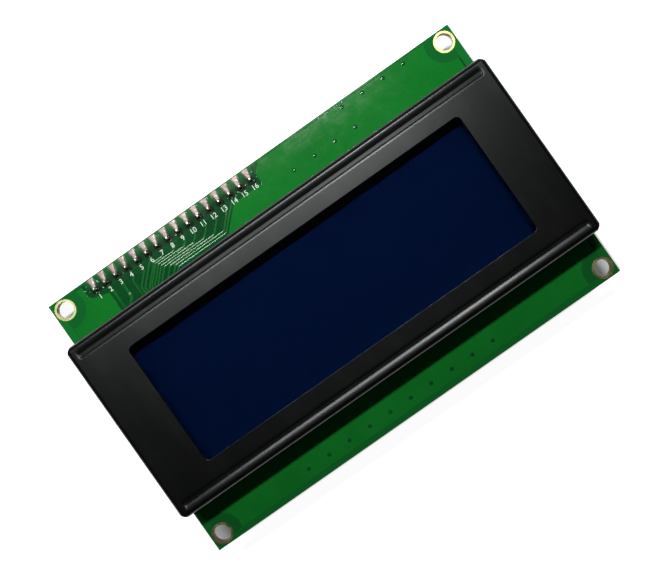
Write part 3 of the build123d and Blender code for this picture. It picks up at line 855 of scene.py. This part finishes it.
def flux_flecks():
    draw = random.Random(FLECK_SEED)
    bm = bmesh.new()
    for cx, cy, half_long, half_wide, turn in FLECKS:
        along = Matrix.Rotation(math.radians(turn), 2)
        radii = [draw.uniform(0.75, 1.1) for _ in range(FLECK_CORNERS)]
        spots = []
        for k, radius in enumerate(radii):
            angle = 2.0 * math.pi * k / FLECK_CORNERS
            x, y = half_long * radius * math.cos(angle), half_wide * radius * math.sin(angle)
            spots.append(along @ Vector((x, y)))
        loops = []
        for share, height in FLECK_PROFILE:
            z = BOARD_FRONT + FLECK_GAP + height
            loops.append([vertex(bm, cx + share * p.x, cy + share * p.y, z) for p in spots])
        join(bm, loops)
        bm.faces.new(loops[0])
        bm.faces.new(loops[-1])
    piece("flux_flecks", bm, plastics["dried_flux"])


flux_flecks()


# Plain numbers printed beside the contacts
FIGURE_SIZE = 1.5
FIGURE_Y = 25.68
FIGURE_LIFT = 0.041
FIGURE_DEPTH = 0.008
FIGURE_WEIGHT = 0.006
FIGURE_STEPS = 3


def number_piece():
    bm = bmesh.new()
    for index, x in enumerate(CONTACTS):
        curve = bpy.data.curves.new("figure", "FONT")
        curve.body = str(index + 1)
        curve.size = FIGURE_SIZE * MM
        curve.align_x = "CENTER"
        curve.align_y = "CENTER"
        curve.extrude = FIGURE_DEPTH * MM
        curve.offset = FIGURE_WEIGHT * MM
        curve.resolution_u = FIGURE_STEPS
        holder = bpy.data.objects.new("figure", curve)
        scene.collection.objects.link(holder)
        bpy.context.view_layer.update()
        graph = bpy.context.evaluated_depsgraph_get()
        figure = bpy.data.meshes.new_from_object(holder.evaluated_get(graph))
        place = (x * MM, FIGURE_Y * MM, (BOARD_FRONT + FIGURE_LIFT) * MM)
        figure.transform(Matrix.Translation(place))
        bm.from_mesh(figure)
        bpy.data.objects.remove(holder)
        bpy.data.curves.remove(curve)
        bpy.data.meshes.remove(figure)
    piece("contact_numbers", bm, white_print)


number_piece()


# Floor, light and surroundings, in metres
FLOOR_HALF = 3.0
FLOOR_GAP = 0.00002
FLOOR_COLOUR = (0.82, 0.82, 0.84, 1.0)
FLOOR_LEVELS = (0.08, 0.92)  # its own light: dimmed under the module as a painted shadow, and full beside it
SHADOW_HALF_X = 0.0517
SHADOW_HALF_Y = 0.03135
SHADOW_FADE = 0.0008
LAMPS = (  # name, place, size, power and what it is aimed at
    ("key", (-0.0062, 0.084, 0.220), (0.153, 0.014), 0.48, None),
    ("key_centre", (0.047, 0.084, 0.2195), (0.04, 0.014), 0.2, None),
    ("under", (0.0, 0.0, -0.3), (0.3, 0.3), 0.35, (0.0, 0.0, 0.0)),
)
SKY_LIGHT = {"low": 0.0, "high": 0.6, "start": 0.2, "end": 0.045}
SKY_MIRRORED = {"low": 0.1, "high": 0.4, "start": 1.0, "end": 0.0}
SKY_ALONG = {"low": -0.5, "high": 0.9, "start": 0.1, "end": 0.7}
SKY_LEAST = 0.006


def floor_surface():
    """Near white where it is seen, with a painted shadow darkening it under the module, and clear
    from beneath.
    """
    s = Surface("floor_white", roughness=0.9, specular=0.1)
    s.colour(FLOOR_COLOUR)
    path = s.add("LightPath").outputs
    seen = s.larger(path["Is Camera Ray"], path["Is Glossy Ray"])
    seen = s.larger(seen, path["Is Transmission Ray"])
    # Painted shadow: the floor's own light drops in a soft-edged patch under the module.
    past_x = s.take(s.size(s.axis(0)), SHADOW_HALF_X)
    past_y = s.take(s.size(s.axis(1)), SHADOW_HALF_Y)
    start, end = FLOOR_LEVELS
    level = s.ramp(s.larger(past_x, past_y), low=0.0, high=SHADOW_FADE, start=start, end=end)
    s.shader.inputs["Emission Color"].default_value = WHITE
    s.put(s.shader.inputs["Emission Strength"], s.times(seen, level))
    beneath = s.add("NewGeometry").outputs["Backfacing"]
    clear = s.add("BsdfTransparent").outputs[0]
    s.show(s.blend(beneath, s.shader.outputs[0], clear))
    return s


def make_stage():
    mesh = bpy.data.meshes.new("floor")
    half = FLOOR_HALF
    z = FLOOR_Z * MM - FLOOR_GAP
    corners = [(-half, -half, z), (half, -half, z), (half, half, z), (-half, half, z)]
    mesh.from_pydata(corners, [], [(0, 1, 2, 3)])
    floor = bpy.data.objects.new("floor", mesh)
    scene.collection.objects.link(floor)
    mesh.materials.append(floor_surface().material)
    floor.visible_shadow = False


def area_lamp(name, place, size, power, aim):
    data = bpy.data.lights.new(name, "AREA")
    data.shape = "RECTANGLE"
    data.size, data.size_y = size
    data.energy = power
    lamp = bpy.data.objects.new(name, data)
    lamp.location = place
    if aim is not None:
        lamp.rotation_mode = "QUATERNION"
        lamp.rotation_quaternion = (Vector(aim) - Vector(place)).to_track_quat("-Z", "Y")
    lamp.visible_camera = False
    scene.collection.objects.link(lamp)


def make_world():
    """Dim light from the sky, a paler horizon in mirrors, and white behind the object."""
    world = bpy.data.worlds.new("surroundings")
    scene.world = world
    world.use_nodes = True
    w = Nodes(world.node_tree, "Generated")
    path = w.add("LightPath").outputs
    height, along = w.axis(2), w.axis(1)
    mirrored = w.times(w.ramp(height, **SKY_MIRRORED), w.ramp(along, **SKY_ALONG))
    mirrored = w.add_up(mirrored, SKY_LEAST)
    lighting = w.ramp(height, **SKY_LIGHT)
    shown = w.larger(path["Is Glossy Ray"], path["Is Transmission Ray"])
    plain = w.add_up(w.times(w.take(mirrored, lighting), shown), lighting)
    gap = w.times(w.take(1.0, plain), path["Is Camera Ray"])
    background = world.node_tree.nodes["Background"]
    w.put(background.inputs["Strength"], w.add_up(plain, gap))
    background.inputs["Color"].default_value = WHITE


make_stage()
for lamp in LAMPS:
    area_lamp(*lamp)
make_world()
scene.view_settings.view_transform = "Standard"
